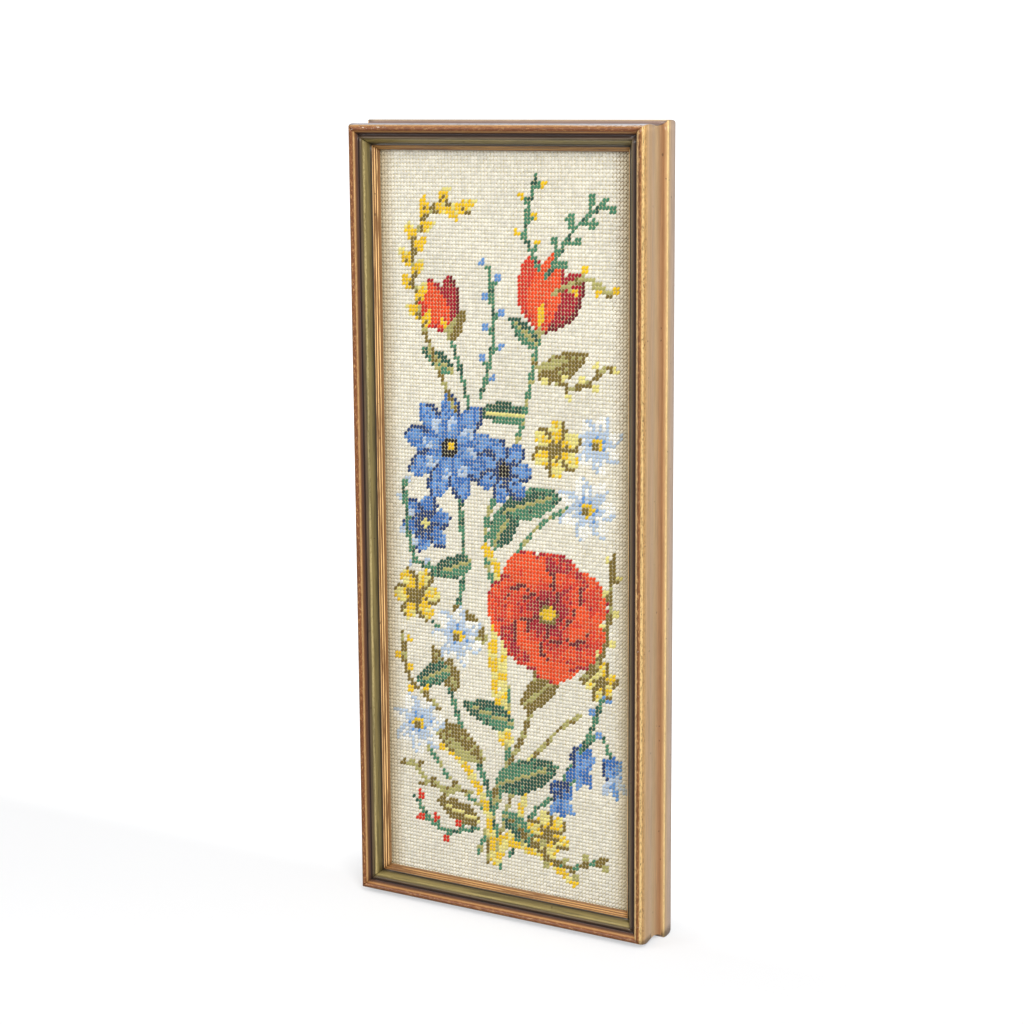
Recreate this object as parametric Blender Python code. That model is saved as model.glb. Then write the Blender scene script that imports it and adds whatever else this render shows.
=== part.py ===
# A tall, narrow needlepoint in its picture frame, as it hangs on a wall.
# Units are metres. +X is to the right, +Z is up, and the front faces -Y.
# The origin is on the flat back of the top rail, at its middle.
import math

import bmesh
import bpy
from mathutils import Vector

MM = 0.001

# The embroidery: what shows in the opening, counted in stitches of a ten-mesh canvas.
STITCH_PITCH = 2.54 * MM
STITCHES_ACROSS = 75
STITCH_ROWS = 196.5
SIGHT_WIDTH = STITCHES_ACROSS * STITCH_PITCH
SIGHT_HEIGHT = STITCH_ROWS * STITCH_PITCH

# The moulding's section. "out" runs outwards from the sight edge, "back" runs backwards from the
# canvas face, and both are in millimetres in the tables below.
REBATE_OUT = 5.4
REBATE_ROOF = -0.5
BACK_FACE = 28.0
BACK_CHAMFER_OUT = 16.6
LIP_START = (0.5, -1.9)
LIP_END = (3.4, -6.2)
REEDS = 3
REED_HEIGHT = 0.28
POINTS_A_REED = 6
CURVE_STEPS = 3

# Round stretches of the section, from the sight edge to the back. Each is one smooth curve.
SIGHT_FILLET = [
    {"out": 0.0, "back": -1.3},
    {"out": 0.15, "back": -1.7},
    {"out": 0.5, "back": -1.9},
]
OLIVE_OGEE = [
    {"out": 4.3, "back": -6.0},
    {"out": 4.7, "back": -7.3},
    {"out": 5.5, "back": -8.6},
    {"out": 6.5, "back": -9.8},
    {"out": 7.1, "back": -11.0},
    {"out": 7.5, "back": -11.9},
    {"out": 8.2, "back": -12.2},
    {"out": 9.1, "back": -11.7},
    {"out": 9.9, "back": -11.1},
    {"out": 10.6, "back": -10.9},
    {"out": 11.1, "back": -11.4},
]
FRONT_BEAD = [
    {"out": 11.2, "back": -11.8},
    {"out": 11.6, "back": -13.0},
    {"out": 12.3, "back": -14.0},
    {"out": 13.2, "back": -15.0},
    {"out": 14.4, "back": -15.4},
    {"out": 15.6, "back": -14.7},
    {"out": 16.5, "back": -13.0},
    {"out": 17.1, "back": -10.8},
    {"out": 17.5, "back": -8.0},
    {"out": 17.4, "back": -5.0},
]
SIDE_COVE = [
    {"out": 17.0, "back": -1.5},
    {"out": 16.6, "back": 2.0},
    {"out": 16.4, "back": 5.5},
    {"out": 16.7, "back": 9.0},
    {"out": 17.5, "back": 11.8},
    {"out": 18.5, "back": 13.1},
]
REAR_BAND = [
    {"out": 19.2, "back": 13.4},
    {"out": 19.6, "back": 14.2},
    {"out": 19.7, "back": 16.0},
    {"out": 19.6, "back": 19.0},
    {"out": 19.2, "back": 22.5},
    {"out": 18.6, "back": 25.0},
    {"out": 17.7, "back": 27.0},
]

# Clearances between the pieces, and the sheets in the rebate.
MITRE_GAP = 0.3 * MM
PIECE_GAP = 0.3 * MM
CANVAS_THICKNESS = 2.0 * MM
BOARD_THICKNESS = 3.0 * MM

# Where the section sits in the world.
SIGHT_TOP = -0.5 * (REBATE_OUT + BACK_CHAMFER_OUT) * MM
SIGHT_CENTRE_Z = SIGHT_TOP - 0.5 * SIGHT_HEIGHT
CANVAS_FACE_Y = -BACK_FACE * MM

WALNUT = {"color": (0.36, 0.19, 0.09), "roughness": 0.45}
WOOL = {"color": (0.78, 0.73, 0.60), "roughness": 0.95}
BOARD = {"color": (0.42, 0.33, 0.24), "roughness": 0.85}


def clear_scene():
    for obj in list(bpy.data.objects):
        bpy.data.objects.remove(obj, do_unlink=True)


def make_material(name, finish):
    mat = bpy.data.materials.new(name)
    mat.use_nodes = True
    shader = mat.node_tree.nodes["Principled BSDF"]
    shader.inputs["Base Color"].default_value = (*finish["color"], 1.0)
    shader.inputs["Roughness"].default_value = finish["roughness"]
    shader.inputs["Metallic"].default_value = 0.0
    return mat


def curve_through(stations, steps=CURVE_STEPS):
    """Points of a smooth curve through the stations, ends included."""
    knots = [Vector((s["out"], s["back"])) for s in stations]
    ends = [2 * knots[0] - knots[1], *knots, 2 * knots[-1] - knots[-2]]
    points = []
    for a, b, c, d in zip(ends, ends[1:], ends[2:], ends[3:]):
        for i in range(steps):
            t = i / steps
            points.append(0.5 * (2 * b + (c - a) * t + (2 * a - 5 * b + 4 * c - d) * t * t
                                 + (3 * b - a - 3 * c + d) * t * t * t))
    points.append(knots[-1])
    return points


def reeded_slope():
    """The inner lip: a slope with small round reeds along it."""
    start, end = Vector(LIP_START), Vector(LIP_END)
    along = end - start
    outward = Vector((along.y, -along.x)).normalized()
    count = REEDS * POINTS_A_REED
    points = []
    for i in range(1, count + 1):
        t = i / count
        swell = REED_HEIGHT * abs(math.sin(math.pi * REEDS * t))
        points.append(start + along * t + outward * swell)
    return points


def moulding_section():
    """The whole outline as (out, back) in millimetres, from the rebate round to the back."""
    section = [Vector((REBATE_OUT, REBATE_ROOF)), Vector((0.0, REBATE_ROOF))]
    section += curve_through(SIGHT_FILLET)
    section += reeded_slope()
    for curve in (OLIVE_OGEE, FRONT_BEAD, SIDE_COVE, REAR_BAND):
        section += curve_through(curve)
    section += [Vector((BACK_CHAMFER_OUT, BACK_FACE)), Vector((REBATE_OUT, BACK_FACE))]
    return section


def make_rail(name, side, finish):
    """One length of moulding, mitred at both ends."""
    lying = side in ("top", "bottom")
    half_along = 0.5 * (SIGHT_WIDTH if lying else SIGHT_HEIGHT)
    half_across = 0.5 * (SIGHT_HEIGHT if lying else SIGHT_WIDTH)
    sign = 1 if side in ("top", "right") else -1
    trim = 0.5 * MITRE_GAP * math.sqrt(2)

    def place(out, back, end):
        along = end * (half_along + out * MM - trim)
        across = sign * (half_across + out * MM)
        y = CANVAS_FACE_Y + back * MM
        if lying:
            return Vector((along, y, SIGHT_CENTRE_Z + across))
        return Vector((across, y, SIGHT_CENTRE_Z + along))

    bm = bmesh.new()
    rings = [[bm.verts.new(place(p.x, p.y, end)) for p in moulding_section()] for end in (-1, 1)]
    for ring in rings:
        bm.faces.new(ring)
    first, last = rings
    for i in range(len(first)):
        j = (i + 1) % len(first)
        bm.faces.new((first[i], first[j], last[j], last[i]))
    bmesh.ops.recalc_face_normals(bm, faces=bm.faces)
    add_object(name, bm, finish)


def make_sheet(name, front_y, thickness, finish):
    """A flat sheet that fills the rebate but for a small gap all round."""
    spare = 2 * (REBATE_OUT * MM - PIECE_GAP)
    size = (SIGHT_WIDTH + spare, thickness, SIGHT_HEIGHT + spare)
    bm = bmesh.new()
    bmesh.ops.create_cube(bm, size=1.0)
    bmesh.ops.scale(bm, vec=size, verts=bm.verts)
    centre = (0.0, front_y + 0.5 * thickness, SIGHT_CENTRE_Z)
    bmesh.ops.translate(bm, vec=centre, verts=bm.verts)
    add_object(name, bm, finish)


def add_object(name, bm, finish):
    mesh = bpy.data.meshes.new(name)
    bm.to_mesh(mesh)
    bm.free()
    mesh.shade_smooth()
    mesh.set_sharp_from_angle(angle=math.radians(30))
    mesh.materials.append(make_material(name, finish))
    obj = bpy.data.objects.new(name, mesh)
    bpy.context.scene.collection.objects.link(obj)


def main():
    clear_scene()
    for side in ("top", "bottom", "left", "right"):
        make_rail(f"{side}_rail", side, WALNUT)
    make_sheet("needlepoint_canvas", CANVAS_FACE_Y, CANVAS_THICKNESS, WOOL)
    board_front = CANVAS_FACE_Y + CANVAS_THICKNESS + PIECE_GAP
    make_sheet("mounting_board", board_front, BOARD_THICKNESS, BOARD)


main()
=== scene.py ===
import math
import random

import bmesh
import bpy
import numpy as np
from mathutils import Matrix, Vector


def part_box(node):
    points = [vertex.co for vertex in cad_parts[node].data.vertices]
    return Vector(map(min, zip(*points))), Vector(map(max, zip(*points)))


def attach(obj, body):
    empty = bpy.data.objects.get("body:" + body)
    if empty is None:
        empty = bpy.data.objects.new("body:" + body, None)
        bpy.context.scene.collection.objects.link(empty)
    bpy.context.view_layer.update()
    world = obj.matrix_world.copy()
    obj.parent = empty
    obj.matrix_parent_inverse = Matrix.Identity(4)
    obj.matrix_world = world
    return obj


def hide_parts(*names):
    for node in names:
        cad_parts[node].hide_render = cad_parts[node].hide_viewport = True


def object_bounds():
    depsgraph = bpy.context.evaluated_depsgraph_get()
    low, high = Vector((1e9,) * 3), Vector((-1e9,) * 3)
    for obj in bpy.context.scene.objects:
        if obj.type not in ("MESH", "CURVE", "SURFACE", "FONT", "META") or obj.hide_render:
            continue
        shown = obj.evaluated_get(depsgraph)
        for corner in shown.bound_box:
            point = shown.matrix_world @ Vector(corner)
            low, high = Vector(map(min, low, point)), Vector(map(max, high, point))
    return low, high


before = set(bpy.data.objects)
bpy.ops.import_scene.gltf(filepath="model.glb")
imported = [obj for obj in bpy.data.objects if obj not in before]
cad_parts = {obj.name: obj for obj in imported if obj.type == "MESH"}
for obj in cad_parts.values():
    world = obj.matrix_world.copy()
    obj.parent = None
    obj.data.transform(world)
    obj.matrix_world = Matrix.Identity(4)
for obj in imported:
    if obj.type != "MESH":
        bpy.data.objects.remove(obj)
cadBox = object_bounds()
mm = 0.001

# Sizes read back from the fixed frame, all in metres
canvasLow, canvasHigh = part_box("needlepoint_canvas")
sight = {
    "rebate": 5.1 * mm,                     # how far the canvas runs on under the lip
    "face": canvasLow[1],                   # the canvas's front plane
}
sight["halfWidth"] = canvasHigh[0] - sight["rebate"]
sight["top"] = canvasHigh[2] - sight["rebate"]
sight["bottom"] = canvasLow[2] + sight["rebate"]
sight["middle"] = 0.5 * (sight["top"] + sight["bottom"])
sight["halfHeight"] = 0.5 * (sight["top"] - sight["bottom"])
print("frame loaded: sight opening", round(2000 * sight["halfWidth"], 1), "by",
      round(2000 * sight["halfHeight"], 1), "mm")


# Small helpers shared by every piece

def rgb(hexText):
    channels = [int(hexText[i:i + 2], 16) / 255 for i in (0, 2, 4)]
    return [c / 12.92 if c <= 0.04045 else ((c + 0.055) / 1.055) ** 2.4 for c in channels] + [1.0]


def addObject(name, data):
    obj = bpy.data.objects.new(name, data)
    bpy.context.scene.collection.objects.link(obj)
    return obj


def objectFromBmesh(name, bm):
    mesh = bpy.data.meshes.new(name)
    bm.to_mesh(mesh)
    bm.free()
    return addObject(name, mesh)


def dress(obj, mat):
    obj.data.materials.clear()
    obj.data.materials.append(mat)


def onlyVerts(geometry):
    return [g for g in geometry if isinstance(g, bmesh.types.BMVert)]


def onlyEdges(geometry):
    return [g for g in geometry if isinstance(g, bmesh.types.BMEdge)]


# A thin layer over node building, so each material reads as a recipe
class Recipe:
    def __init__(self, tree):
        self.tree = tree

    def node(self, kind, inputs=None, **settings):
        made = self.tree.nodes.new(kind)
        for key, value in settings.items():
            setattr(made, key, value)
        for key, value in (inputs or {}).items():
            socket = made.inputs[key]
            if isinstance(value, bpy.types.NodeSocket):
                self.tree.links.new(value, socket)
            else:
                socket.default_value = value
        return made

    def math(self, operation, a, b=0.0, c=0.0, clamp=False):
        made = self.node("ShaderNodeMath", {0: a, 1: b, 2: c}, operation=operation, use_clamp=clamp)
        return made.outputs["Value"]

    def product(self, first, *others):
        for value in others:
            first = self.math("MULTIPLY", first, value)
        return first

    def step(self, value, low, high):
        made = self.node("ShaderNodeMapRange", {"Value": value, "From Min": low, "From Max": high},
                         interpolation_type="SMOOTHSTEP")
        return made.outputs["Result"]

    def window(self, value, low, high, soft):
        rise = self.step(value, low - soft, low + soft)
        fall = self.step(value, high + soft, high - soft)
        return self.product(rise, fall)

    def mix(self, factor, a, b, blend="MIX"):
        made = self.node("ShaderNodeMix", data_type="RGBA", blend_type=blend)
        for index, value in ((0, factor), (6, a), (7, b)):
            if isinstance(value, bpy.types.NodeSocket):
                self.tree.links.new(value, made.inputs[index])
            else:
                made.inputs[index].default_value = value
        return made.outputs[2]

    def lay(self, colour, mask, share, stain):
        # Lays a stain over a colour wherever the mask is, up to this share of it
        return self.mix(self.product(mask, share), colour, rgb(stain))

    def ramp(self, value, stops):
        made = self.node("ShaderNodeValToRGB", {"Fac": value})
        elements = made.color_ramp.elements
        while len(elements) < len(stops):
            elements.new(1.0)
        for element, (place, colour) in zip(elements, stops):
            element.position = place
            element.color = rgb(colour)
        return made.outputs["Color"]

    def noise(self, vector, scale, detail=3.0, roughness=0.55, distortion=0.0):
        made = self.node("ShaderNodeTexNoise", {"Vector": vector, "Scale": scale, "Detail": detail,
                                                "Roughness": roughness, "Distortion": distortion})
        return made.outputs["Fac"]

    def stretched(self, vector, scale):
        return self.node("ShaderNodeMapping", {"Vector": vector, "Scale": scale}).outputs["Vector"]

    def bump(self, height, strength, distance):
        made = self.node("ShaderNodeBump", {"Height": height, "Strength": strength, "Distance": distance})
        return made.outputs["Normal"]


def newGroup(name, inputs, outputs):
    tree = bpy.data.node_groups.new(name, "ShaderNodeTree")
    for label, kind, value in inputs:
        socket = tree.interface.new_socket(label, in_out="INPUT", socket_type=kind)
        if value is not None:
            socket.default_value = value
    for label, kind in outputs:
        tree.interface.new_socket(label, in_out="OUTPUT", socket_type=kind)
    recipe = Recipe(tree)
    return recipe, recipe.node("NodeGroupInput"), recipe.node("NodeGroupOutput")


def newMaterial(name, fixed):
    mat = bpy.data.materials.new(name)
    mat.use_nodes = True
    shader = mat.node_tree.nodes["Principled BSDF"]
    for key, value in fixed.items():
        shader.inputs[key].default_value = value
    return mat, Recipe(mat.node_tree), shader


# Camera, matched to the stitch grid and the moulding's edges in the photograph

cameraSetup = {
    "place": (0.8013, -1.3131, 0.0271),     # metres, in the frame's own axes
    "azimuth": 31.741,                      # degrees round to the panel's right
    "elevation": 10.336,
    "roll": 0.379,
    "lens": 81.181,
    "sensor": 36.0,
    "reach": 60.0,
}


def addCamera(setup):
    azimuth, elevation, roll = (math.radians(setup[k]) for k in ("azimuth", "elevation", "roll"))
    forward = Vector((-math.sin(azimuth) * math.cos(elevation), math.cos(azimuth) * math.cos(elevation),
                      -math.sin(elevation)))
    level = Vector((math.cos(azimuth), math.sin(azimuth), 0.0))
    down = forward.cross(level)
    right = math.cos(roll) * level + math.sin(roll) * down
    up = math.sin(roll) * level - math.cos(roll) * down
    data = bpy.data.cameras.new("photoCamera")
    data.lens = setup["lens"]
    data.sensor_width = setup["sensor"]
    data.clip_end = setup["reach"]
    camera = addObject("photoCamera", data)
    turned = Matrix((right, up, -forward)).transposed().to_4x4()
    camera.matrix_world = Matrix.Translation(setup["place"]) @ turned
    bpy.context.scene.camera = camera


addCamera(cameraSetup)
print("camera placed")


# Wood moulding: finer copies of the fixed rails, with loops along them and worn, hand-rubbed arrises whose
# gold also carries painted highlights

railFinish = {
    "loopEvery": 7.0 * mm,
    "smoothAngle": 42.0,
    "waver": 0.025 * mm,                    # how far the arrises wander, in front of the next depth only
    "waverDepth": 26.0 * mm,                # behind the canvas's face
    "waverEnds": 25.0 * mm,                 # the rail stays true this near its ends
    "waves": 210.0,                         # radians a metre along the rail
    "grain": (28.0, 620.0),                 # streaks a metre, along and across
    "flecks": (380.0, 1050.0),
}


def finerRail(nodeName):
    bm = bmesh.new()
    bm.from_mesh(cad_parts[nodeName].data)
    bmesh.ops.remove_doubles(bm, verts=bm.verts, dist=0.01 * mm)
    lying = nodeName in ("top_rail", "bottom_rail")
    axis = Vector((1, 0, 0)) if lying else Vector((0, 0, 1))
    along = [v.co.dot(axis) for v in bm.verts]
    low, high = min(along), max(along)
    count = int((high - low) / railFinish["loopEvery"])
    for i in range(1, count):
        cut = axis * (low + (high - low) * i / count)
        bmesh.ops.bisect_plane(bm, geom=bm.verts[:] + bm.edges[:] + bm.faces[:], dist=0.001 * mm,
                               plane_co=cut, plane_no=axis)
    draw = random.Random(nodeName)
    phase = [draw.uniform(0, 6.28) for _ in range(2)]
    deepest = sight["face"] + railFinish["waverDepth"]
    ends = railFinish["waverEnds"]
    for v in bm.verts:
        if v.co.y < deepest and low + ends < v.co.dot(axis) < high - ends:
            place = v.co.dot(axis) * railFinish["waves"]
            push = math.sin(place + phase[0]) + 0.6 * math.sin(2.3 * place + phase[1] + 900 * v.co.y)
            v.co.y += railFinish["waver"] * push
    obj = objectFromBmesh(nodeName.replace("_rail", "Moulding"), bm)
    obj.data.shade_smooth()
    obj.data.set_sharp_from_angle(angle=math.radians(railFinish["smoothAngle"]))
    return obj, lying


def sectionGroup():
    # Tells where a point lies on the moulding's section, in millimetres: out from the sight edge, and back
    distances = [("Out", "NodeSocketFloat"), ("Back", "NodeSocketFloat")]
    g, _, result = newGroup("mouldingSection", [], distances)
    where = g.node("ShaderNodeTexCoord").outputs["Object"]
    parts = g.node("ShaderNodeSeparateXYZ", {"Vector": where})
    sideways = g.math("SUBTRACT", g.math("ABSOLUTE", parts.outputs["X"]), sight["halfWidth"])
    lifted = g.math("ABSOLUTE", g.math("SUBTRACT", parts.outputs["Z"], sight["middle"]))
    upwards = g.math("SUBTRACT", lifted, sight["halfHeight"])
    out = g.product(g.math("MAXIMUM", sideways, upwards), 1000.0)
    back = g.product(g.math("SUBTRACT", parts.outputs["Y"], sight["face"]), 1000.0)
    g.tree.links.new(out, result.inputs["Out"])
    g.tree.links.new(back, result.inputs["Back"])
    return g.tree


def grainGroup():
    # Long wood grain along a rail: a streak mask, a fine pore mask and slow patches of deeper stain
    g, given, result = newGroup(
        "stainedGrain", [("Long", "NodeSocketVector", None), ("Short", "NodeSocketVector", None)],
        [("Streaks", "NodeSocketFloat"), ("Pores", "NodeSocketFloat"), ("Patches", "NodeSocketFloat"),
         ("Flecks", "NodeSocketFloat")])
    vector = given.outputs["Long"]
    streaks = g.noise(vector, 1.0, detail=5.0, roughness=0.6, distortion=0.3)
    pores = g.noise(g.stretched(vector, (2.7, 2.7, 2.7)), 1.6, detail=2.0, roughness=0.7)
    patches = g.noise(g.stretched(vector, (0.16, 0.16, 0.16)), 1.0, detail=2.0)
    flecks = g.noise(given.outputs["Short"], 1.0, detail=4.0, roughness=0.72, distortion=0.15)
    for label, value in (("Streaks", streaks), ("Pores", pores), ("Patches", patches), ("Flecks", flecks)):
        g.tree.links.new(value, result.inputs[label])
    return g.tree


# Stains and gilding, and where each lies: in millimetres out from the sight edge on the moulding's front,
# and back from the canvas's face on its side
stains = {
    "lipEdge": "6f5233", "lipBrown": "5f3f22", "quirk": "2b231a", "oliveDeep": "4b4229", "olive": "605430",
    "oliveSheen": "73673f", "umber": "483d28", "umberWarm": "483b2b", "ebonyWorn": "322720",
    "ebony": "241a16", "ebonyEdge": "483228", "rootBrown": "553c2c", "honeyEdge": "80562f",
    "chestnut": "60371c", "walnut": "5b3419", "walnutLight": "7d532c", "amber": "8a6238",
    "giltEdge": "ad8752", "gilt": "936c3c", "ochre": "9c7c52", "fawn": "a08464", "mushroom": "a38a70",
    "buff": "9e8564", "tan": "967959", "russet": "8b6848", "russetDeep": "7c5636", "ridgeGilt": "95734d",
    "ridgeCrown": "a0835b", "driftwood": "a1886a", "greige": "a28c79", "greigePale": "a29080",
    "dustSheenPale": "8d96a5", "dustSheenDeep": "544b4d", "reedGilt": "c9a46e", "reedGiltDull": "b98f55",
    "rubbedGiltHighlight": "cdb47c", "quirkBrown": "3f2210", "rimSheen": "b3a273", "coveDark": "2c2818",
    "beadGilt": "bf975f", "beadDark": "45270f", "fleck": "3a2415", "chip": "e6dccb", "scuffGlint": "cfd1d6",
    "rawDeep": "8f7250", "raw": "b4946a", "rawPale": "c8aa80",
}
frontBands = [
    (0.0, "lipEdge"), (0.6, "lipBrown"), (2.7, "lipBrown"), (3.2, "quirk"), (3.9, "quirk"),
    # The lighter olive at the cove's shoulder is a painted sheen line
    (4.4, "oliveDeep"), (5.4, "olive"), (6.2, "olive"), (6.7, "oliveSheen"), (7.3, "umber"),
    (8.3, "umberWarm"), (9.0, "ebonyWorn"), (9.8, "ebony"), (10.6, "ebony"), (11.0, "ebonyEdge"),
    # The honey band at the bead's inner arris is rubbed gilt with a painted highlight
    (11.4, "rootBrown"), (12.0, "honeyEdge"), (12.8, "chestnut"), (14.6, "walnut"), (16.0, "walnutLight"),
    (17.2, "amber"),
]
sideBands = [
    (-15.5, "amber"), (-13.8, "giltEdge"), (-12.3, "gilt"), (-10.5, "ochre"), (-8.0, "fawn"),
    (-5.0, "fawn"), (-1.0, "mushroom"), (3.5, "buff"), (6.5, "tan"), (9.0, "russet"),
    (11.8, "russetDeep"), (13.0, "ridgeGilt"), (14.2, "ridgeCrown"), (15.6, "driftwood"), (19.0, "greige"),
    (27.0, "greigePale"),
]
# Places of wear and of painted highlights, in the same millimetres: from, to, and how soft their ends are
wearAndHighlights = {
    "reeds": (0.35, 2.9, 0.15),
    "cove": (4.0, 8.6, 0.4),
    "coveSheen": (6.3, 7.0, 0.2),
    "innerArris": (11.9, 12.5, 0.25),
    "wideArris": (12.4, 14.1, 0.35),
    "chips": (13.2, 15.6, 0.4),
    "beadQuirk": (14.5, 15.3, 0.3),
    "outerArris": (-14.6, -12.2, 0.5),
    "scuffGlint": (-14.2, -11.8, 0.5),
    "ridge": (13.4, 14.5, 0.35),
}
# Fades, in the same millimetres: none at the first, full at the second
fades = {
    "sideOut": (14.8, 16.4), "sideBack": (-13.6, -11.8), "dustSheenBack": (2.0, 10.0),
    "arrisOut": (15.7, 16.2), "ridgeOut": (18.4, 18.9), "beadOut": (12.3, 13.0), "beadBack": (-9.0, -10.5),
    "scuffGlintOut": (14.8, 15.6), "rebateOut": (14.0, 6.0), "rebateBack": (-0.75, -0.65),
    "bareBack": (27.4, 27.9),
}
# How strongly each finish shows, on the lying rails and on the upright ones; the shares for the arrises, the
# cove's rim, the dust and the scuff also set painted highlights and sheen by how the light falls on each
strengths = {
    "dustSheen": (0.75, 0.0), "reeds": (0.5, 0.8), "innerArris": (0.2, 0.45), "wideArris": (0.0, 0.75),
    "beadQuirk": (0.0, 0.5), "outerArris": (0.3, 1.0), "ridge": (0.4, 1.0), "giltAndHighlight": (0.8, 0.8),
    "coveSheen": (0.12, 0.4), "coveDark": (0.4, 0.4), "beadGilt": (0.22, 0.35), "beadDark": (0.6, 0.6),
    "grain": (0.85, 0.85), "fleck": (0.55, 0.55), "chip": (0.7, 0.7), "scuffGlint": (0.6, 0.0),
}
bandSpans = {"front": (0.0, 20.0), "side": (-16.0, 44.0)}    # start and length of the two runs of bands
# Stretches of the top rail, in metres across and up, that a mask fades in over
topRail = {"height": (-0.1, -0.02), "knockedEnd": (-0.078, -0.088), "scuffGlintEnd": (0.04, 0.09)}


def mouldingMasks(m, lying, section, grain):
    # Everything that the wood's finish is steered by: places on the moulding, and grain
    spot = m.node("ShaderNodeGroup", node_tree=section)
    where = m.node("ShaderNodeTexCoord").outputs["Object"]
    parts = m.node("ShaderNodeSeparateXYZ", {"Vector": where})
    vectors = []
    for along, across in (railFinish["grain"], railFinish["flecks"]):
        vectors.append(m.stretched(where, (along, across, across) if lying else (across, across, along)))
    wood = m.node("ShaderNodeGroup", {"Long": vectors[0], "Short": vectors[1]}, node_tree=grain)
    at = {"where": where, "x": parts.outputs["X"], "z": parts.outputs["Z"],
          "out": spot.outputs["Out"], "back": spot.outputs["Back"]}
    for label in ("Streaks", "Pores", "Patches", "Flecks"):
        at[label.lower()] = wood.outputs[label]
    broken = m.math("ADD", m.product(at["flecks"], 0.8), m.product(at["patches"], 0.3))
    at["loose"] = m.step(broken, 0.44, 0.62)
    return at


def bandRamp(m, distance, bands, start, reach):
    place = m.math("DIVIDE", m.math("SUBTRACT", distance, start), reach)
    return m.ramp(place, [((p - start) / reach, stains[c]) for p, c in bands])


def stainBands(m, at, share, lying):
    front = bandRamp(m, at["out"], frontBands, *bandSpans["front"])
    side = bandRamp(m, at["back"], sideBands, *bandSpans["side"])
    if lying:
        # Dust and a painted sheen, standing in for the white studio's reflection, grey the lying rails' outer
        # steps
        deep = m.step(at["back"], *fades["dustSheenBack"])
        dustSheen = m.mix(deep, rgb(stains["dustSheenPale"]), rgb(stains["dustSheenDeep"]))
        side = m.mix(share["dustSheen"], side, dustSheen)
    onSide = m.product(m.step(at["out"], *fades["sideOut"]), m.step(at["back"], *fades["sideBack"]))
    return m.mix(onSide, front, side)


def giltReeds(m, colour, at, share, lying):
    # Reeds of the inner lip: gold on their crowns, brown between
    crowns = m.math("ABSOLUTE", m.math("SINE", m.product(m.math("SUBTRACT", at["out"], 0.5), 3.25)))
    gilt = m.product(m.step(crowns, 0.35, 0.95), m.window(at["out"], *wearAndHighlights["reeds"]),
                     m.step(at["streaks"], 0.32, 0.55))
    return m.lay(colour, gilt, share["reeds"], stains["reedGiltDull" if lying else "reedGilt"])


def arrisGiltAndHighlights(m, colour, at, share, lying):
    # Thin broken lines of rubbed gold on the bead and the rear ridge, which are also painted highlights, set
    # stronger on the upright rails where the light falls on their arrises
    inner = m.product(m.window(at["out"], *wearAndHighlights["innerArris"]), share["innerArris"])
    if not lying:
        # The right rail's inner arris carries a wider band of rubbed gold and painted highlight than the left
        # one's, beside a darker quirk
        right = m.step(at["x"], 0.0, 0.01)
        wide = m.product(m.window(at["out"], *wearAndHighlights["wideArris"]), right, share["wideArris"])
        inner = m.math("MAXIMUM", inner, wide)
        quirk = m.product(m.window(at["out"], *wearAndHighlights["beadQuirk"]), right)
        colour = m.lay(colour, quirk, share["beadQuirk"], stains["quirkBrown"])
    outer = m.product(m.window(at["back"], *wearAndHighlights["outerArris"]), m.step(at["out"], *fades["arrisOut"]),
                      share["outerArris"])
    ridge = m.product(m.window(at["back"], *wearAndHighlights["ridge"]), m.step(at["out"], *fades["ridgeOut"]),
                      share["ridge"])
    giltAndHighlight = m.math("MAXIMUM", inner, m.math("MAXIMUM", outer, ridge))
    giltAndHighlight = m.product(giltAndHighlight, m.math("MULTIPLY_ADD", at["loose"], 0.45, 0.45))
    return m.lay(colour, giltAndHighlight, share["giltAndHighlight"], stains["rubbedGiltHighlight"])


def coveSheenAndStain(m, colour, at, share):
    # The cove's rim carries a painted highlight, a pale sheen line broken up like wear, and dark stain lies
    # in its grain
    rim = m.product(m.window(at["out"], *wearAndHighlights["coveSheen"]), at["loose"])
    colour = m.lay(colour, rim, share["coveSheen"], stains["rimSheen"])
    stained = m.product(m.window(at["out"], *wearAndHighlights["cove"]), m.step(at["streaks"], 0.52, 0.36))
    return m.lay(colour, stained, share["coveDark"], stains["coveDark"])


def mottledBead(m, colour, at, share):
    # Gilt is rubbed through in short flecks, and dark stain is left in others
    bead = m.product(m.step(at["out"], *fades["beadOut"]), m.step(at["back"], *fades["beadBack"]))
    gilt = m.product(m.step(at["flecks"], 0.54, 0.62), bead)
    colour = m.lay(colour, gilt, share["beadGilt"], stains["beadGilt"])
    dark = m.product(m.step(at["flecks"], 0.47, 0.37), bead)
    return m.lay(colour, dark, share["beadDark"], stains["beadDark"])


def grainAndFlecks(m, colour, at, share):
    # Streaks, pores and patches deepen or lift the stain, and a few dark round flecks lie over it
    tone = m.math("ADD", m.product(at["streaks"], 1.5), m.product(at["patches"], 0.5))
    tone = m.math("ADD", tone, m.math("MULTIPLY_ADD", at["pores"], 0.9, 0.5))
    tinted = m.node("ShaderNodeCombineColor", {"Red": tone, "Green": tone, "Blue": tone}).outputs["Color"]
    colour = m.mix(share["grain"], colour, tinted, "MULTIPLY")
    fleck = m.step(m.noise(at["where"], 260.0, detail=1.0, roughness=0.4), 0.765, 0.79)
    return m.lay(colour, fleck, share["fleck"], stains["fleck"])


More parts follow.
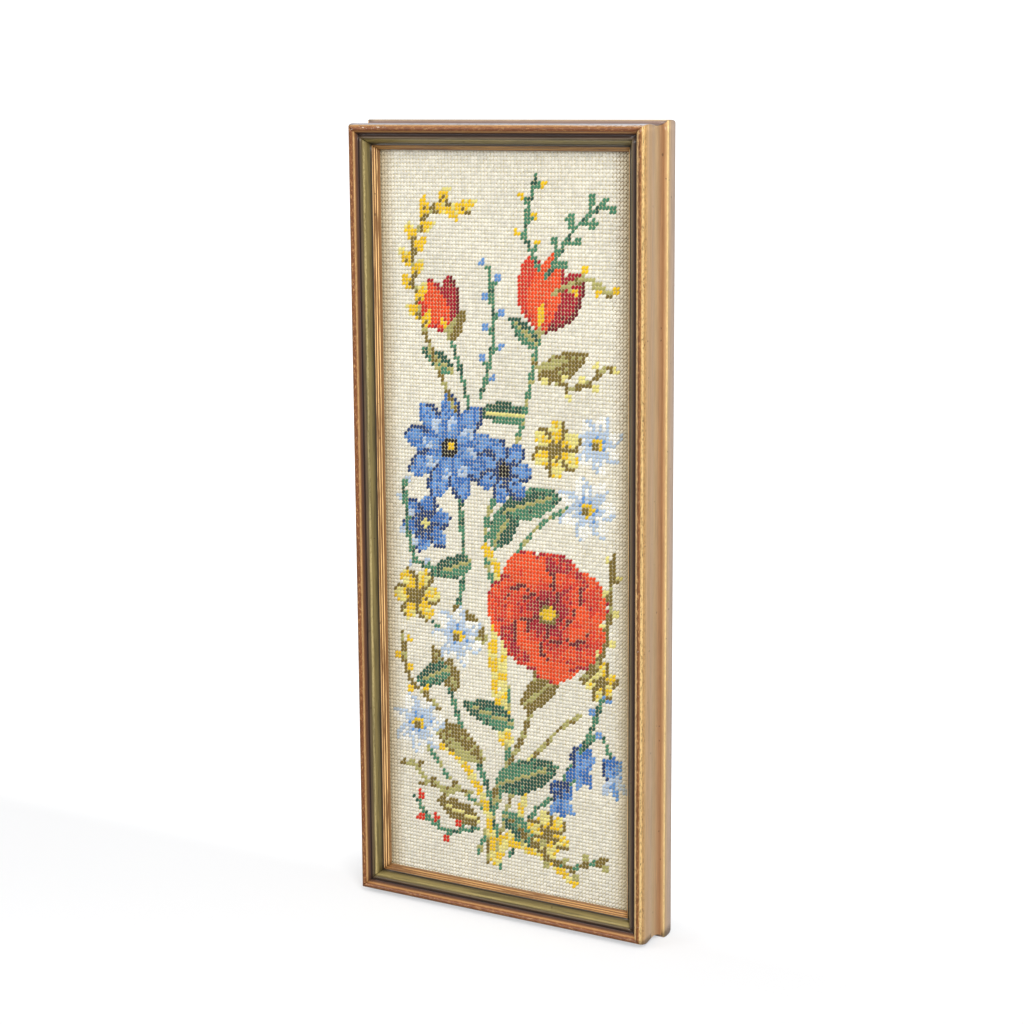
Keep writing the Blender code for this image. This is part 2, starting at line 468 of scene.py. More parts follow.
def chipsScuffsAndGlint(m, colour, at, share, lying):
    # A few pale chips lie anywhere, and most on the top rail's left end, where the frame has been knocked
    spots = m.noise(at["where"], 620.0, detail=1.0)
    chip = m.step(spots, 0.77, 0.79)
    if lying:
        onTop = m.step(at["z"], *topRail["height"])
        knocked = m.product(m.step(spots, 0.63, 0.66), m.step(at["x"], *topRail["knockedEnd"]), onTop)
        chip = m.math("MAXIMUM", chip, knocked)
    chip = m.product(chip, m.window(at["out"], *wearAndHighlights["chips"]))
    colour = m.lay(colour, chip, share["chip"], stains["chip"])
    if lying:
        # The top rail's arris is scuffed pale at its right end, with a painted glint in bluish white along it
        scuffGlint = m.product(m.window(at["back"], *wearAndHighlights["scuffGlint"]), m.step(at["x"], *topRail["scuffGlintEnd"]),
                          onTop, m.step(at["out"], *fades["scuffGlintOut"]), m.step(at["flecks"], 0.42, 0.58))
        colour = m.lay(colour, scuffGlint, share["scuffGlint"], stains["scuffGlint"])
    return colour


def woodMaterial(name, lying, section, grain):
    mat, m, shader = newMaterial(name, {"Metallic": 0.0, "Specular IOR Level": 0.36, "Coat Weight": 0.12,
                                        "Coat Roughness": 0.28})
    at = mouldingMasks(m, lying, section, grain)
    share = {place: pair[0 if lying else 1] for place, pair in strengths.items()}
    colour = stainBands(m, at, share, lying)
    colour = giltReeds(m, colour, at, share, lying)
    colour = arrisGiltAndHighlights(m, colour, at, share, lying)
    colour = coveSheenAndStain(m, colour, at, share)
    colour = mottledBead(m, colour, at, share)
    colour = grainAndFlecks(m, colour, at, share)
    colour = chipsScuffsAndGlint(m, colour, at, share, lying)

    # Bare, lightly toned wood in the rebate and on the back
    inRebate = m.product(m.step(at["back"], *fades["rebateBack"]), m.step(at["out"], *fades["rebateOut"]))
    bare = m.math("MAXIMUM", inRebate, m.step(at["back"], *fades["bareBack"]))
    raw = m.ramp(at["streaks"], [(0.25, stains["rawDeep"]), (0.5, stains["raw"]), (0.75, stains["rawPale"])])
    colour = m.mix(bare, colour, raw)

    roughness = m.math("ADD", m.product(at["streaks"], 0.25), m.product(bare, 0.35))
    m.tree.links.new(colour, shader.inputs["Base Color"])
    m.tree.links.new(m.math("ADD", roughness, 0.26), shader.inputs["Roughness"])
    height = m.math("ADD", m.product(at["streaks"], 0.6), m.product(at["pores"], 0.4))
    m.tree.links.new(m.bump(height, 0.35, 0.25 * mm), shader.inputs["Normal"])
    return mat


section = sectionGroup()
grain = grainGroup()
woodLying = woodMaterial("stainedWoodLying", True, section, grain)
woodUpright = woodMaterial("stainedWoodUpright", False, section, grain)
for nodeName in ("top_rail", "bottom_rail", "left_rail", "right_rail"):
    rail, lying = finerRail(nodeName)
    dress(rail, woodLying if lying else woodUpright)
    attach(rail, "root")
    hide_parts(nodeName)
print("four rails finished")


# Mounting board behind the canvas: plain grey-brown millboard, seen only from the back

def boardMaterial():
    mat, m, shader = newMaterial("millboard", {"Roughness": 0.85})
    where = m.node("ShaderNodeTexCoord").outputs["Object"]
    fibres = m.noise(where, 900.0, detail=4.0, roughness=0.7)
    clouds = m.noise(where, 14.0, detail=2.0)
    mixed = m.math("ADD", m.product(fibres, 0.45), m.product(clouds, 0.55))
    colour = m.ramp(mixed, [(0.3, "6d5640"), (0.5, "8a6f52"), (0.7, "9d8262")])
    m.tree.links.new(colour, shader.inputs["Base Color"])
    m.tree.links.new(m.bump(fibres, 0.3, 0.2 * mm), shader.inputs["Normal"])
    return mat


dress(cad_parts["mounting_board"], boardMaterial())
print("board finished")


# The chart: one yarn number for each stitch, painted with a few brush functions

yarns = {
    "ivory": "e9e4d5", "orange": "ee4d1c", "red": "d8331f", "crimson": "a8142a", "wine": "6f1220",
    "blue": "3b72b8", "sky": "6a9ad4", "mist": "bccde2", "navy": "24406f", "green": "4a8566",
    "pine": "2b5747", "sage": "b0ab68", "olive": "7b682c", "gold": "efc41c", "straw": "eadf88",
    "black": "1b1a1c", "white": "f3f2ec",
}
yarnNames = list(yarns)
chartSize = {"across": 79, "rows": 201, "hidden": 2, "bands": 4}
chart = np.zeros((chartSize["rows"], chartSize["across"]), int)
columnGrid, rowGrid = np.meshgrid(np.arange(chartSize["across"]) - chartSize["hidden"],
                                  np.arange(chartSize["rows"]) - chartSize["hidden"])
speckle = np.random.default_rng(41).random(chart.shape)


def paint(mask, yarn):
    chart[mask] = yarnNames.index(yarn)


def curvePoints(stations, spacing=0.35):
    # A smooth run through given stations, as chart positions
    pts = [np.array(p, float) for p in stations]
    pts = [2 * pts[0] - pts[1], *pts, 2 * pts[-1] - pts[-2]]
    run = []
    for a, b, c, d in zip(pts, pts[1:], pts[2:], pts[3:]):
        steps = max(2, int(np.linalg.norm(c - b) / spacing))
        for t in np.arange(steps) / steps:
            run.append(0.5 * (2 * b + (c - a) * t + (2 * a - 5 * b + 4 * c - d) * t ** 2
                              + (3 * b - a - 3 * c + d) * t ** 3))
    run.append(pts[-2])
    return run


def stem(stations, yarn, shade=None, thick=0.66):
    for i, (x, y) in enumerate(curvePoints(stations)):
        near = np.hypot(columnGrid - x, rowGrid - y) < thick
        paint(near, shade if shade and (i // 5) % 3 == 1 else yarn)


def petal(x, y, angle, length, width, shades, blunt=0.8, frill=0.0, shadow=None):
    # shades run from the petal's root to its rim; shadow is worked down its lower side
    turn = math.radians(angle)
    dx, dy = columnGrid - x, rowGrid - y
    along = (dx * math.cos(turn) + dy * math.sin(turn)) / length
    across = (dy * math.cos(turn) - dx * math.sin(turn)) / (0.5 * width)
    span = np.clip(along, 0, 1)
    edge = np.sin(math.pi * span ** blunt) ** 0.7
    edge = edge * (1 + frill * np.sin(span * 19 + across * 6))
    inside = (along > -0.02) & (along < 1.0) & (np.abs(across) < edge)
    depth = span * 0.75 + 0.35 * np.abs(across) + 0.30 * (speckle - 0.5)
    for i, yarn in enumerate(shades):
        low, high = i / len(shades), (i + 1) / len(shades)
        first, last = i == 0, i == len(shades) - 1
        paint(inside & ((depth >= low) | first) & ((depth < high) | last), yarn)
    if shadow:
        paint(inside & (across < -edge + 2.3 / width) & (along > 0.12), shadow)


def disc(x, y, radius, yarn, rough=0.0):
    paint(np.hypot(columnGrid - x, rowGrid - y) < radius + rough * (speckle - 0.5), yarn)


def rosette(x, y, radius, count, shades, width, start=0.0, blunt=0.8, shadow=None):
    for i in range(count):
        petal(x, y, start + 360 * i / count, radius, width, shades, blunt, 0.0, shadow)


def bloom(x, y, radius):
    # A full camellia: three rounds of scalloped petals, dark between and lit at their rims
    outer = [["wine", "crimson", "red", "orange"], ["wine", "crimson", "crimson", "red"],
             ["wine", "red", "orange", "orange"]]
    for i in range(7):
        reach = radius * (1.0, 0.90, 0.97)[i % 3]
        petal(x, y, 20 + 360 * i / 7, reach, radius * 0.84, outer[i % 3], 1.75, 0.12, "crimson")
    middle = [["wine", "crimson", "red", "orange"], ["wine", "red", "orange", "orange"]]
    for i in range(6):
        petal(x, y, 48 + 60 * i, radius * 0.70, radius * 0.60, middle[i % 2], 1.7, 0.08, "wine")
    for i in range(5):
        petal(x, y, 15 + 72 * i, radius * 0.44, radius * 0.38, ["wine", "crimson", "red"], 1.5, 0.0, "wine")
    disc(x, y, radius * 0.15, "olive", 0.8)
    disc(x + 0.3, y + 0.4, radius * 0.11, "gold", 1.2)


def tulip(x, y, angle, size):
    petal(x, y, angle + 24, size * 0.96, size * 0.50, ["crimson", "red", "red"], 1.0, 0.0, "crimson")
    petal(x, y, angle - 24, size * 0.96, size * 0.50, ["wine", "crimson", "crimson"], 1.0, 0.0, "wine")
    petal(x, y, angle + 3, size, size * 0.52, ["red", "orange", "orange", "orange"], 0.9, 0.0, "crimson")
    petal(x, y, angle + 14, size * 0.62, size * 0.13, ["gold", "orange"], 1.0)
    disc(x, y, 1.3, "sage")


def bluebell(x, y, angle, size, shades=("blue", "sky", "blue")):
    petal(x, y, angle, size * 0.95, size * 0.66, list(shades), 0.62, 0.0, "navy")
    turn = math.radians(angle)
    mouthX, mouthY = x + 0.58 * size * math.cos(turn), y + 0.58 * size * math.sin(turn)
    for lean in (-42, 0, 42):
        petal(mouthX, mouthY, angle + lean, size * 0.55, size * 0.30, [shades[2 if lean else 1]], 0.9)


def leaf(x, y, angle, length, width, light="green", dark="pine", vein="sage"):
    petal(x, y, angle, length, width, [light, light, dark], 0.85)
    turn = math.radians(angle)
    dx, dy = columnGrid - x, rowGrid - y
    along = dx * math.cos(turn) + dy * math.sin(turn)
    across = dy * math.cos(turn) - dx * math.sin(turn)
    lower = (across < -0.5) & (across > -0.5 * width) & (along > 0.12 * length) & (along < 0.8 * length)
    paint(lower & (chart == yarnNames.index(light)) & (speckle < 0.8), dark)
    paint((np.abs(across) < 0.5) & (along > 0) & (along < 0.82 * length), vein)


def sprig(stations, yarn, budYarn, every=9, reach=3.2, budSize=1.15, shade=None):
    # A thin stalk with paired side twigs that end in buds
    run = curvePoints(stations)
    stem(stations, yarn, shade)
    for n, i in enumerate(range(every, len(run), every)):
        (x0, y0), (x1, y1) = run[i - 2], run[i]
        heading = math.atan2(y1 - y0, x1 - x0) + (0.85 if n % 2 else -0.85)
        tip = (x1 + reach * math.cos(heading), y1 + reach * math.sin(heading))
        stem([(x1, y1), tip], yarn)
        disc(*tip, budSize, budYarn)


def plume(stations, count, size):
    # A drooping golden plume: short leaning florets either side of its stalk
    run = curvePoints(stations)
    stem(stations, "olive", "sage")
    for i in range(count):
        spot = int((len(run) - 1) * (0.34 + 0.66 * i / (count - 1)))
        (x, y), (x2, y2) = run[spot], run[min(len(run) - 1, spot + 4)]
        heading = math.degrees(math.atan2(y2 - y, x2 - x)) if (x2, y2) != (x, y) else 200
        petal(x, y, heading + (38 if i % 2 else -38), size, size * 0.5,
              ["olive", "gold", "straw" if i % 3 else "gold"], 0.9)


def paintChart():
    # Stalks first, so that flowers and leaves lie over them
    stem([(31, 5), (33, 24), (43, 44), (47, 62)], "olive", "sage", 0.85)
    stem([(35, 4), (31, 26), (22, 44), (19, 60), (24, 84), (23, 104)], "green", "pine", 0.8)
    stem([(28, 7), (37, 34), (36, 70), (31, 96), (42, 124), (48, 150)], "green", "sage", 0.8)
    stem([(23, 100), (26, 128), (20, 150)], "green", "pine")
    stem([(38, 8), (46, 22), (56, 30), (62, 42)], "green", "pine")
    stem([(30, 20), (20, 26), (11, 36)], "green", "sage")
    stem([(33, 6), (40, 28), (52, 44), (60, 50)], "sage", "olive")
    stem([(36, 84), (46, 98), (58, 106)], "green", "sage")
    stem([(24, 62), (14, 70), (10, 76)], "green", "pine")

    # Long pale blades behind the leaves
    blades = [
        ([(33, 6), (30, 22), (21, 34), (14, 36)], "gold", "straw"),
        ([(34, 6), (41, 20), (45, 36)], "straw", "gold"),
        ([(36, 40), (33, 62), (35, 84), (31, 92)], "gold", "straw"),
        ([(38, 40), (36, 60), (39, 80)], "straw", "gold"),
        ([(35, 12), (48, 10), (58, 4)], "gold", "straw"),
    ]
    for stations, yarn, shade in blades:
        stem(stations, yarn, shade, 1.15)

    # Leaves low down and along the climb
    leaf(33, 27, 22, 22, 9)
    leaf(30, 33, 150, 20, 8, "sage", "olive", "olive")
    leaf(40, 45, 168, 17, 7, "green", "pine", "sage")
    leaf(22, 52, 128, 14, 7, "olive", "olive", "sage")
    leaf(42, 50, 40, 16, 7, "olive", "olive", "sage")
    leaf(27, 88, 200, 15, 6, "green", "pine", "sage")
    leaf(33, 92, 60, 17, 8, "green", "pine", "sage")
    leaf(36, 102, 18, 20, 8, "pine", "green", "sage")
    leaf(44, 128, 178, 15, 6, "green", "pine", "straw")
    leaf(47, 138, 25, 17, 7, "sage", "olive", "olive")
    leaf(22, 138, 150, 12, 5, "green", "pine", "sage")
    leaf(20, 58, 205, 13, 6, "green", "pine", "sage")
    leaf(31, 66, 140, 14, 6, "sage", "olive", "olive")
    leaf(35, 20, 330, 17, 6, "green", "pine", "sage")
    leaf(29, 16, 165, 15, 6, "olive", "olive", "straw")
    leaf(27, 122, 200, 13, 5, "sage", "olive", "olive")

    # The big camellia, right of the middle
    bloom(50, 76, 19)

    # Blue stars, left of the middle
    rosette(20, 118, 15, 9, ["navy", "blue", "sky", "blue"], 6.6, 8, 1.6, "navy")
    rosette(20, 118, 9.5, 8, ["blue", "sky", "mist"], 4.4, 28, 1.5, "blue")
    disc(20, 118, 2.6, "black", 1.0)
    disc(20.4, 118.4, 1.0, "gold")
    rosette(37, 113, 9.0, 7, ["navy", "sky", "blue"], 5.2, 0, 1.6, "navy")
    disc(37, 113, 1.8, "black", 0.8)
    rosette(12, 97, 8.5, 6, ["navy", "blue", "sky"], 5.4, 15, 1.5, "navy")
    disc(12, 97, 1.4, "straw")

    # Tulips at the head of the climb
    tulip(48, 150, 74, 21)
    tulip(20, 149, 112, 15)
    leaf(48, 146, 140, 12, 5)
    leaf(20, 146, 60, 10, 4, "sage", "olive", "olive")

    # Bells hanging low on the right
    stem([(52, 27), (60, 40), (66, 45), (69, 40)], "green", "pine")
    bluebell(61, 42, 262, 11)
    bluebell(54, 32, 272, 10, ("navy", "blue", "sky"))
    bluebell(69, 40, 280, 10, ("blue", "sky", "mist"))
    sprig([(60, 40), (65, 50), (66, 58)], "green", "sky", 14, 3.0, 1.2, "pine")

    # Pale and yellow small flowers
    for x, y, radius, start in ((9, 41, 9, 10), (22, 67, 8.5, 30), (62, 105, 9, 0), (65, 122, 8, 20)):
        rosette(x, y, radius, 7, ["sky", "mist", "white", "white"], radius * 0.52, start, 1.4, "mist")
        disc(x, y, 1.8, "gold", 0.6)
        disc(x - 0.6, y - 0.5, 0.8, "olive")
    for x, y, radius, start in ((9, 77, 8, 0), (53, 120, 8, 25), (50, 16, 7, 40), (66, 60, 5.5, 10)):
        rosette(x, y, radius, 6, ["olive", "gold", "straw", "gold"], radius * 0.66, start, 1.5, "olive")
        disc(x, y, 1.2, "olive")

    # Sprays at the edges and the top
    plume([(22, 128), (12, 150), (9, 170), (17, 182), (27, 180)], 15, 6.0)
    sprig([(48, 166), (44, 176), (47, 190)], "green", "gold", 12, 3.4, 1.0, "pine")
    sprig([(50, 164), (58, 176), (68, 184)], "green", "green", 10, 3.6, 1.3, "pine")
    sprig([(52, 160), (62, 164), (69, 160)], "sage", "gold", 12, 3.0, 1.0, "olive")
    sprig([(46, 142), (58, 136), (68, 142)], "olive", "straw", 10, 2.8, 1.0, "sage")
    sprig([(38, 18), (54, 8), (68, 12)], "olive", "sage", 12, 3.0, 1.0, "green")
    sprig([(28, 14), (16, 12), (7, 20)], "green", "red", 12, 3.0, 1.2, "pine")
    sprig([(26, 24), (14, 24), (6, 30)], "sage", "olive", 10, 2.8, 1.0, "olive")
    sprig([(60, 60), (67, 68), (70, 94)], "olive", "straw", 12, 2.4, 0.9, "sage")
    sprig([(18, 84), (8, 88), (5, 108)], "green", "mist", 12, 2.6, 1.0, "pine")
    sprig([(16, 46), (6, 54), (4, 66)], "olive", "gold", 12, 2.6, 1.0, "sage")
    sprig([(30, 132), (34, 148), (33, 166)], "green", "sky", 12, 3.0, 1.1, "pine")


paintChart()
used = [name for i, name in enumerate(yarnNames) if (chart == i).any()]
print("chart painted:", int((chart > 0).sum()), "coloured stitches in", len(used), "yarns")


# Tent stitches: one plump slanting stitch, copied to every crossing of the chart

woolLook = {
    "twist": (5200.0, 3600.0),              # of the plies, in radians a metre along and across the strand
    "fibres": (900.0, 3200.0, 3200.0),
    "dip": (-0.1 * mm, 0.35 * mm),          # from the strand's middle to where the painted shade, dusty in tint, lies
    "nearEdge": (14 * mm, -2 * mm),             # inward from the sight edge, where the ground starts to darken and warm
    "dipShade": "ded1ab",
    "edgeTint": "dacdb4",
}
stitchShape = {
    "pitch": 2.54 * mm,
    "length": 3.60 * mm,
    "width": 2.40 * mm,
    "thick": 1.20 * mm,
    "slant": 49.0,                          # degrees up to the right
    "blunt": 0.95,                          # under 1 makes its ends blunter
    "tuck": 0.28 * mm,                      # how far its ends dive into the canvas
    "crest": 0.12 * mm,                     # its top stands this far before the canvas face's plane
    "warp": 0.16 * mm,                      # slow drift of the rows and columns
    "lean": 2.0,                            # seeded unevenness: degrees, share of its size, and place
    "stretch": 0.07,
    "shift": 0.04 * mm,
    "sink": 0.12 * mm,
    "tight": 0.16,                          # how much narrower the last columns by the right edge are
    "tightFoot": 0.35,                      # and what share of that is left at the foot
    "tightColumns": 8,
}


def oneStitch(shape):
    bm = bmesh.new()
    bmesh.ops.create_uvsphere(bm, u_segments=6, v_segments=5, radius=0.5)
    turn = Matrix.Rotation(math.radians(90), 4, "Y")
    bmesh.ops.transform(bm, matrix=turn, verts=bm.verts)
    for v in bm.verts:
        v.co.x = math.copysign(abs(2 * v.co.x) ** shape["blunt"], v.co.x) * 0.5
    bmesh.ops.scale(bm, vec=(shape["length"], shape["thick"], shape["width"]), verts=bm.verts)
    for v in bm.verts:
        v.co.y += shape["tuck"] * (2 * v.co.x / shape["length"]) ** 2
    bmesh.ops.triangulate(bm, faces=bm.faces)
    bmesh.ops.recalc_face_normals(bm, faces=bm.faces)
    points = np.array([v.co[:] for v in bm.verts])
    corners = np.array([[v.index for v in f.verts] for f in bm.faces])
    bm.free()
    return points, corners


def slowWave(x, z, phase):
    return np.sin(x * 31 + phase) * np.cos(z * 17 - phase) + 0.5 * np.sin(z * 43 + 2 * phase + x * 12)


def joinStitches(name, rows, columns, points, corners, draw):
    shape = stitchShape
    count = len(rows)
    x = (columns - chartSize["hidden"] + 0.5) * shape["pitch"] - sight["halfWidth"]
    z = (rows - chartSize["hidden"] + 0.5) * shape["pitch"] + sight["bottom"]
    warpX, warpZ = shape["warp"] * slowWave(x, z, 0.7), shape["warp"] * slowWave(z, x, 2.1)
    x = x + warpX + draw.normal(0, shape["shift"], count)
    z = z + warpZ + draw.normal(0, shape["shift"], count)
    y = sight["face"] - shape["crest"] + 0.5 * shape["thick"] + draw.uniform(0, shape["sink"], count)
    turn = np.radians(shape["slant"] + draw.normal(0, shape["lean"], count))
    size = 1 + draw.uniform(-1, 1, (count, 2)) * shape["stretch"]
    # The last columns are worked tighter, most of all near the top, and show more canvas
    tight = shape["tight"] * (shape["tightFoot"] + (1 - shape["tightFoot"]) * rows / chartSize["rows"])
    lastColumns = np.clip((columns - chartSize["across"] + shape["tightColumns"]) / 3, 0, 1)
    size[:, 1] *= 1 - tight * lastColumns
    along, across = points[None, :, 0] * size[:, :1], points[None, :, 2] * size[:, 1:]
    cos, sin = np.cos(turn)[:, None], np.sin(turn)[:, None]
    placed = np.stack([x[:, None] + along * cos - across * sin,
                       y[:, None] + points[None, :, 1] * np.ones((count, 1)),
                       z[:, None] + along * sin + across * cos], -1).reshape(-1, 3)
    faces = (corners[None] + (np.arange(count) * len(points))[:, None, None]).reshape(-1, 3)
    mesh = bpy.data.meshes.new(name)
    mesh.from_pydata(placed, [], faces)
    mesh.update()
    mesh.shade_smooth()
    # Each stitch carries its own tone, and its run along the yarn for the twist
    tone = mesh.attributes.new("tone", "FLOAT", "POINT")
    tone.data.foreach_set("value", np.repeat(draw.random(count), len(points)))
    run = mesh.attributes.new("run", "FLOAT_VECTOR", "POINT")
    offset = np.repeat(draw.random((count, 3)), len(points), 0) * [0.02, 0, 0]
    run.data.foreach_set("vector", (np.tile(points, (count, 1)) + offset).ravel())
    return addObject(name, mesh)


def woolGroup():
    # Tapestry wool: plies twisted round the strand, loose fibres, and a tone for each stitch
    colours = [("Light", "NodeSocketColor", (1, 1, 1, 1)), ("Dark", "NodeSocketColor", (0, 0, 0, 1))]
    g, given, result = newGroup("tapestryWool", colours,
                                [("Color", "NodeSocketColor"), ("Height", "NodeSocketFloat")])
    run = g.node("ShaderNodeAttribute", attribute_name="run").outputs["Vector"]
    tone = g.node("ShaderNodeAttribute", attribute_name="tone").outputs["Fac"]
    where = g.node("ShaderNodeTexCoord").outputs["Object"]
    strand = g.node("ShaderNodeSeparateXYZ", {"Vector": run})
    along, across = woolLook["twist"]
    twist = g.math("ADD", g.product(strand.outputs["X"], along), g.product(strand.outputs["Z"], across))
    plies = g.math("MULTIPLY_ADD", g.math("SINE", twist), 0.5, 0.5)
    fibres = g.noise(g.stretched(run, woolLook["fibres"]), 1.0, detail=3.0, roughness=0.7)
    dusk = g.noise(where, 22.0, detail=2.0)
    soft = g.math("ADD", g.product(fibres, 0.35), g.product(dusk, 0.35))
    shade = g.math("ADD", g.product(tone, 0.28), soft)
    shade = g.math("ADD", shade, g.product(plies, 0.12))
    colour = g.mix(g.step(shade, 0.15, 1.0), given.outputs["Dark"], given.outputs["Light"])
    # Painted shade, dusty in tint, darkens the strands where they dip between stitches
    dip = g.product(g.step(strand.outputs["Y"], *woolLook["dip"]), 0.9)
    colour = g.mix(dip, colour, rgb(woolLook["dipShade"]), "MULTIPLY")
    # The ground is darker and warmer along both upright edges
    place = g.node("ShaderNodeSeparateXYZ", {"Vector": where})
    inward = g.math("SUBTRACT", sight["halfWidth"], g.math("ABSOLUTE", place.outputs["X"]))
    nearEdge = g.math("MULTIPLY", g.step(inward, *woolLook["nearEdge"]), 1.1, clamp=True)
    colour = g.mix(nearEdge, colour, rgb(woolLook["edgeTint"]), "MULTIPLY")
    g.tree.links.new(colour, result.inputs["Color"])
    height = g.math("ADD", g.product(plies, 0.6), g.product(fibres, 0.4))
    g.tree.links.new(height, result.inputs["Height"])
    return g.tree


def toned(hexText, share):
    return [min(1.0, c * share) for c in rgb(hexText)[:3]] + [1.0]


def woolMaterial(name, hexText, wool):
    mat, m, shader = newMaterial(name, {"Roughness": 0.88, "Specular IOR Level": 0.25, "Sheen Weight": 0.25,
                                        "Sheen Roughness": 0.5})
    tones = {"Light": toned(hexText, 1.09), "Dark": toned(hexText, 0.72)}
    yarn = m.node("ShaderNodeGroup", tones, node_tree=wool)
    m.tree.links.new(yarn.outputs["Color"], shader.inputs["Base Color"])
    m.tree.links.new(m.bump(yarn.outputs["Height"], 0.5, 0.12 * mm), shader.inputs["Normal"])
    return mat


def stitchPieces():
    # Ground stitches go in bands, so that no piece grows too large
    wool = woolGroup()
    points, corners = oneStitch(stitchShape)
    draw = np.random.default_rng(7)
    jobs = []
    bands = chartSize["bands"]
    rows, columns = np.nonzero(chart == 0)
    for band in range(bands):
        low, high = (chartSize["rows"] * b / bands for b in (band, band + 1))
        here = (rows >= low) & (rows < high)
        jobs.append((f"groundStitches{band + 1}", "ivory", rows[here], columns[here]))
    for index, yarn in enumerate(yarnNames[1:], 1):
        rows, columns = np.nonzero(chart == index)
        if len(rows):
            jobs.append((f"{yarn}Stitches", yarn, rows, columns))
    made, mats = [], {}
    for name, yarn, rows, columns in jobs:
        obj = joinStitches(name, rows, columns, points, corners, draw)
        if yarn not in mats:
            mats[yarn] = woolMaterial(yarn + "Wool", yarns[yarn], wool)
        dress(obj, mats[yarn])
        made.append(obj)
    print("stitched:", sum(len(o.data.polygons) for o in made), "faces in", len(made), "pieces")
    return made


stitches = stitchPieces()


# Needlepoint canvas: the stiff even mesh that the wool is worked on, seen only between stitches

canvasCloth = {
    "thick": 0.6 * mm,
    "behind": 0.60 * mm,
    "cells": (24, 60),
    # The painted shadow on the bare mesh: inward from the sight edge, where it starts and where it is full
    "shadowRight": (16 * mm, 6 * mm),       # inward from the sight edge: the mesh darkens from, and to
    "shadowLeft": (12 * mm, 3 * mm),
    "shadowBelow": 100 * mm,
}


def canvasMaterial():
    mat, m, shader = newMaterial("canvasMesh", {"Roughness": 0.9})
    where = m.node("ShaderNodeTexCoord").outputs["Object"]
    parts = m.node("ShaderNodeSeparateXYZ", {"Vector": where})
    turns = 2 * math.pi / stitchShape["pitch"]
    warp = m.math("COSINE", m.product(parts.outputs["X"], turns))
    weft = m.math("COSINE", m.product(parts.outputs["Z"], turns))
    weave = m.math("MAXIMUM", warp, weft)
    fibres = m.noise(where, 1600.0, detail=3.0)
    threads = m.math("MULTIPLY_ADD", weave, 0.4, 0.5)
    colour = m.ramp(threads, [(0.1, "ab9a6c"), (0.5, "c0b183"), (0.9, "d3c79e")])
    # Painted shadow darkens the bare mesh between the tight last columns on the right, more towards the top,
    # and painted shade darkens it a little on the left
    right = [sight["halfWidth"] - inward for inward in canvasCloth["shadowRight"]]
    left = [inward - sight["halfWidth"] for inward in canvasCloth["shadowLeft"]]
    edgeShadow = m.product(m.step(parts.outputs["X"], *right),
                       m.step(parts.outputs["Z"], sight["bottom"] - canvasCloth["shadowBelow"], sight["top"]))
    edgeShadow = m.math("MAXIMUM", edgeShadow, m.product(m.step(parts.outputs["X"], *left), 0.7))
    colour = m.lay(colour, edgeShadow, 0.9, "6b5430")
    m.tree.links.new(colour, shader.inputs["Base Color"])
    height = m.math("ADD", m.product(weave, 0.7), m.product(fibres, 0.3))
    m.tree.links.new(m.bump(height, 0.8, 0.5 * mm), shader.inputs["Normal"])
    return mat


def stretchedCanvas():
    low, high = canvasLow, canvasHigh
    across, up = canvasCloth["cells"]
    middle = (0, sight["face"] + canvasCloth["behind"], 0.5 * (low[2] + high[2]))
    bm = bmesh.new()
    bmesh.ops.create_grid(bm, x_segments=across, y_segments=up, size=0.5)
    bmesh.ops.scale(bm, vec=(high[0] - low[0], high[2] - low[2], 1), verts=bm.verts)
    bmesh.ops.rotate(bm, matrix=Matrix.Rotation(math.radians(90), 3, "X"), verts=bm.verts)
    bmesh.ops.translate(bm, vec=middle, verts=bm.verts)
    backFace = bmesh.ops.extrude_face_region(bm, geom=bm.faces[:])["geom"]
    bmesh.ops.translate(bm, vec=(0, canvasCloth["thick"], 0), verts=onlyVerts(backFace))
    bmesh.ops.recalc_face_normals(bm, faces=bm.faces)
    return objectFromBmesh("stretchedCanvas", bm)


cloth = stretchedCanvas()
dress(cloth, canvasMaterial())
for piece in [cloth, *stitches]:
    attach(piece, "root")
    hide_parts("needlepoint_canvas")
print("canvas stretched")


# Studio: pale floor swept up behind, broad soft light

studio = {
    "floorDrop": 0.2 * mm,
    "reach": 9.0,
    "bend": 1.6,
    "behind": 3.2,
    "glow": 0.50,                           # the backdrop and floor look white without lighting the panel
    "floorGlow": 0.535,
    "glowFrom": (-0.03, 0.12),              # metres back from the wall's plane, where the glow comes in
}


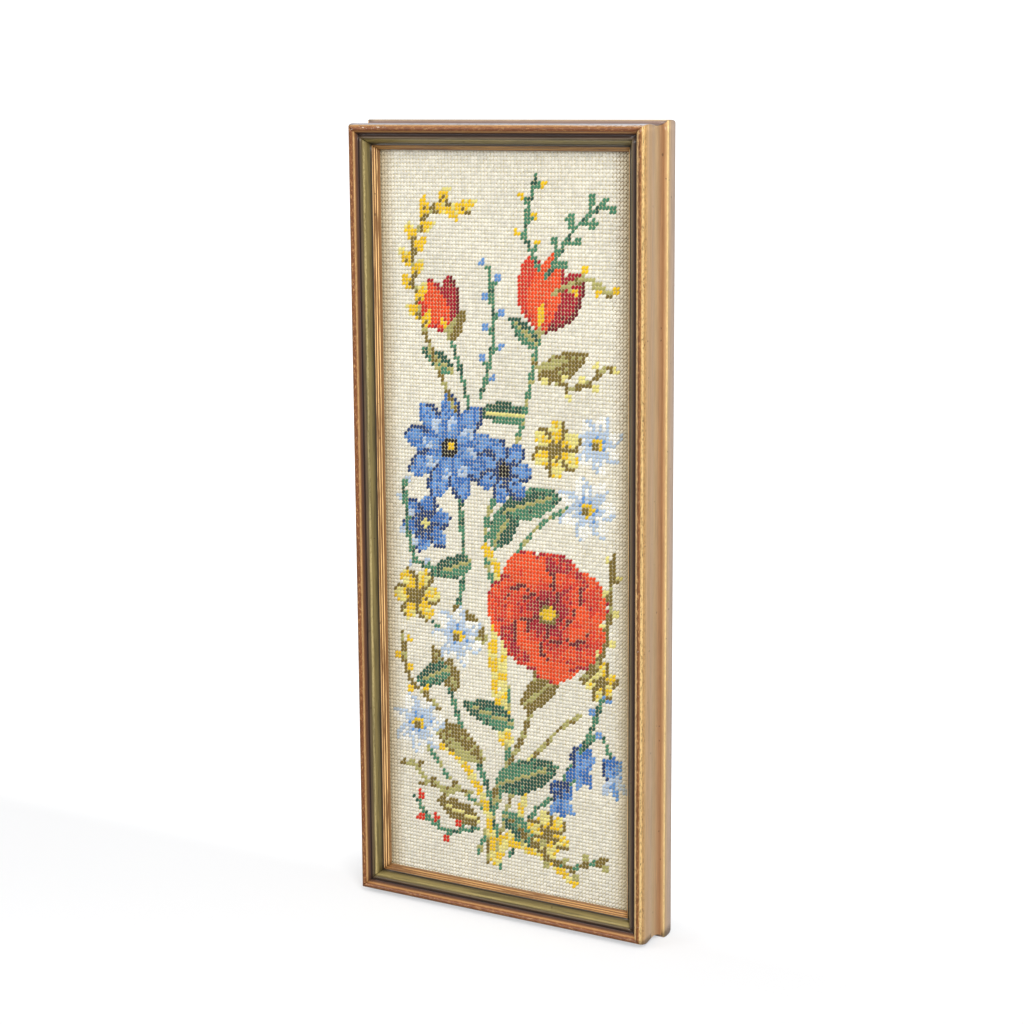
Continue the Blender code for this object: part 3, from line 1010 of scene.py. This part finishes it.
def paleFloor():
    mat, m, shader = newMaterial("paleFloor", {"Roughness": 0.9, "Specular IOR Level": 0.2,
                                             "Emission Color": (0.985, 0.99, 1, 1)})
    where = m.node("ShaderNodeTexCoord").outputs["Object"]
    depth = m.node("ShaderNodeSeparateXYZ", {"Vector": where}).outputs["Y"]
    glow = m.math("MULTIPLY_ADD", m.step(depth, *studio["glowFrom"]), studio["glow"], studio["floorGlow"])
    seen = m.node("ShaderNodeLightPath").outputs["Is Camera Ray"]
    m.tree.links.new(m.product(glow, seen), shader.inputs["Emission Strength"])
    soft = m.noise(where, 1.5, detail=1.0)
    colour = m.ramp(soft, [(0.3, "acacac"), (0.7, "b0b0b0")])
    m.tree.links.new(colour, shader.inputs["Base Color"])
    bm = bmesh.new()
    reach, bend, behind = studio["reach"], studio["bend"], studio["behind"]
    start = [bm.verts.new((-reach, -reach, 0)), bm.verts.new((reach, -reach, 0))]
    edge = bm.edges.new(start)
    flat = bmesh.ops.extrude_edge_only(bm, edges=[edge])["geom"]
    bmesh.ops.translate(bm, vec=(0, reach + behind, 0), verts=onlyVerts(flat))
    swept = bmesh.ops.spin(bm, geom=onlyEdges(flat), cent=(0, behind, bend), axis=(1, 0, 0),
                           angle=math.radians(90), steps=16)
    wall = bmesh.ops.extrude_edge_only(bm, edges=onlyEdges(swept["geom_last"]))["geom"]
    bmesh.ops.translate(bm, vec=(0, 0, reach), verts=onlyVerts(wall))
    floorLevel = cadBox[0][2] - studio["floorDrop"]
    bmesh.ops.translate(bm, vec=(0, 0, floorLevel), verts=bm.verts)
    bmesh.ops.recalc_face_normals(bm, faces=bm.faces)
    floor = objectFromBmesh("floor", bm)
    floor.data.shade_smooth()
    dress(floor, mat)


lamps = {
    "keyRight": {"place": (1.35, -1.6, 1.2), "size": 0.9, "power": 48.0},
    "fillLeft": {"place": (-1.3, -1.9, 0.6), "size": 1.2, "power": 16.0},
    "overhead": {"place": (0.1, -0.7, 1.7), "size": 1.3, "power": 4.0},
}
air = {"strength": 0.58, "view": "Standard"}


def addLamps():
    target = Vector((0, sight["face"], sight["middle"]))
    for name, lamp in lamps.items():
        data = bpy.data.lights.new(name, "AREA")
        data.shape = "DISK"
        data.size = lamp["size"]
        data.energy = lamp["power"]
        obj = addObject(name, data)
        obj.location = lamp["place"]
        obj.rotation_euler = (target - obj.location).to_track_quat("-Z", "Y").to_euler()
    world = bpy.data.worlds.new("studioAir")
    world.use_nodes = True
    sky = world.node_tree.nodes["Background"]
    sky.inputs["Color"].default_value = (1, 1, 1, 1)
    sky.inputs["Strength"].default_value = air["strength"]
    bpy.context.scene.world = world
    bpy.context.scene.view_settings.view_transform = air["view"]


paleFloor()
addLamps()
print("studio lit")
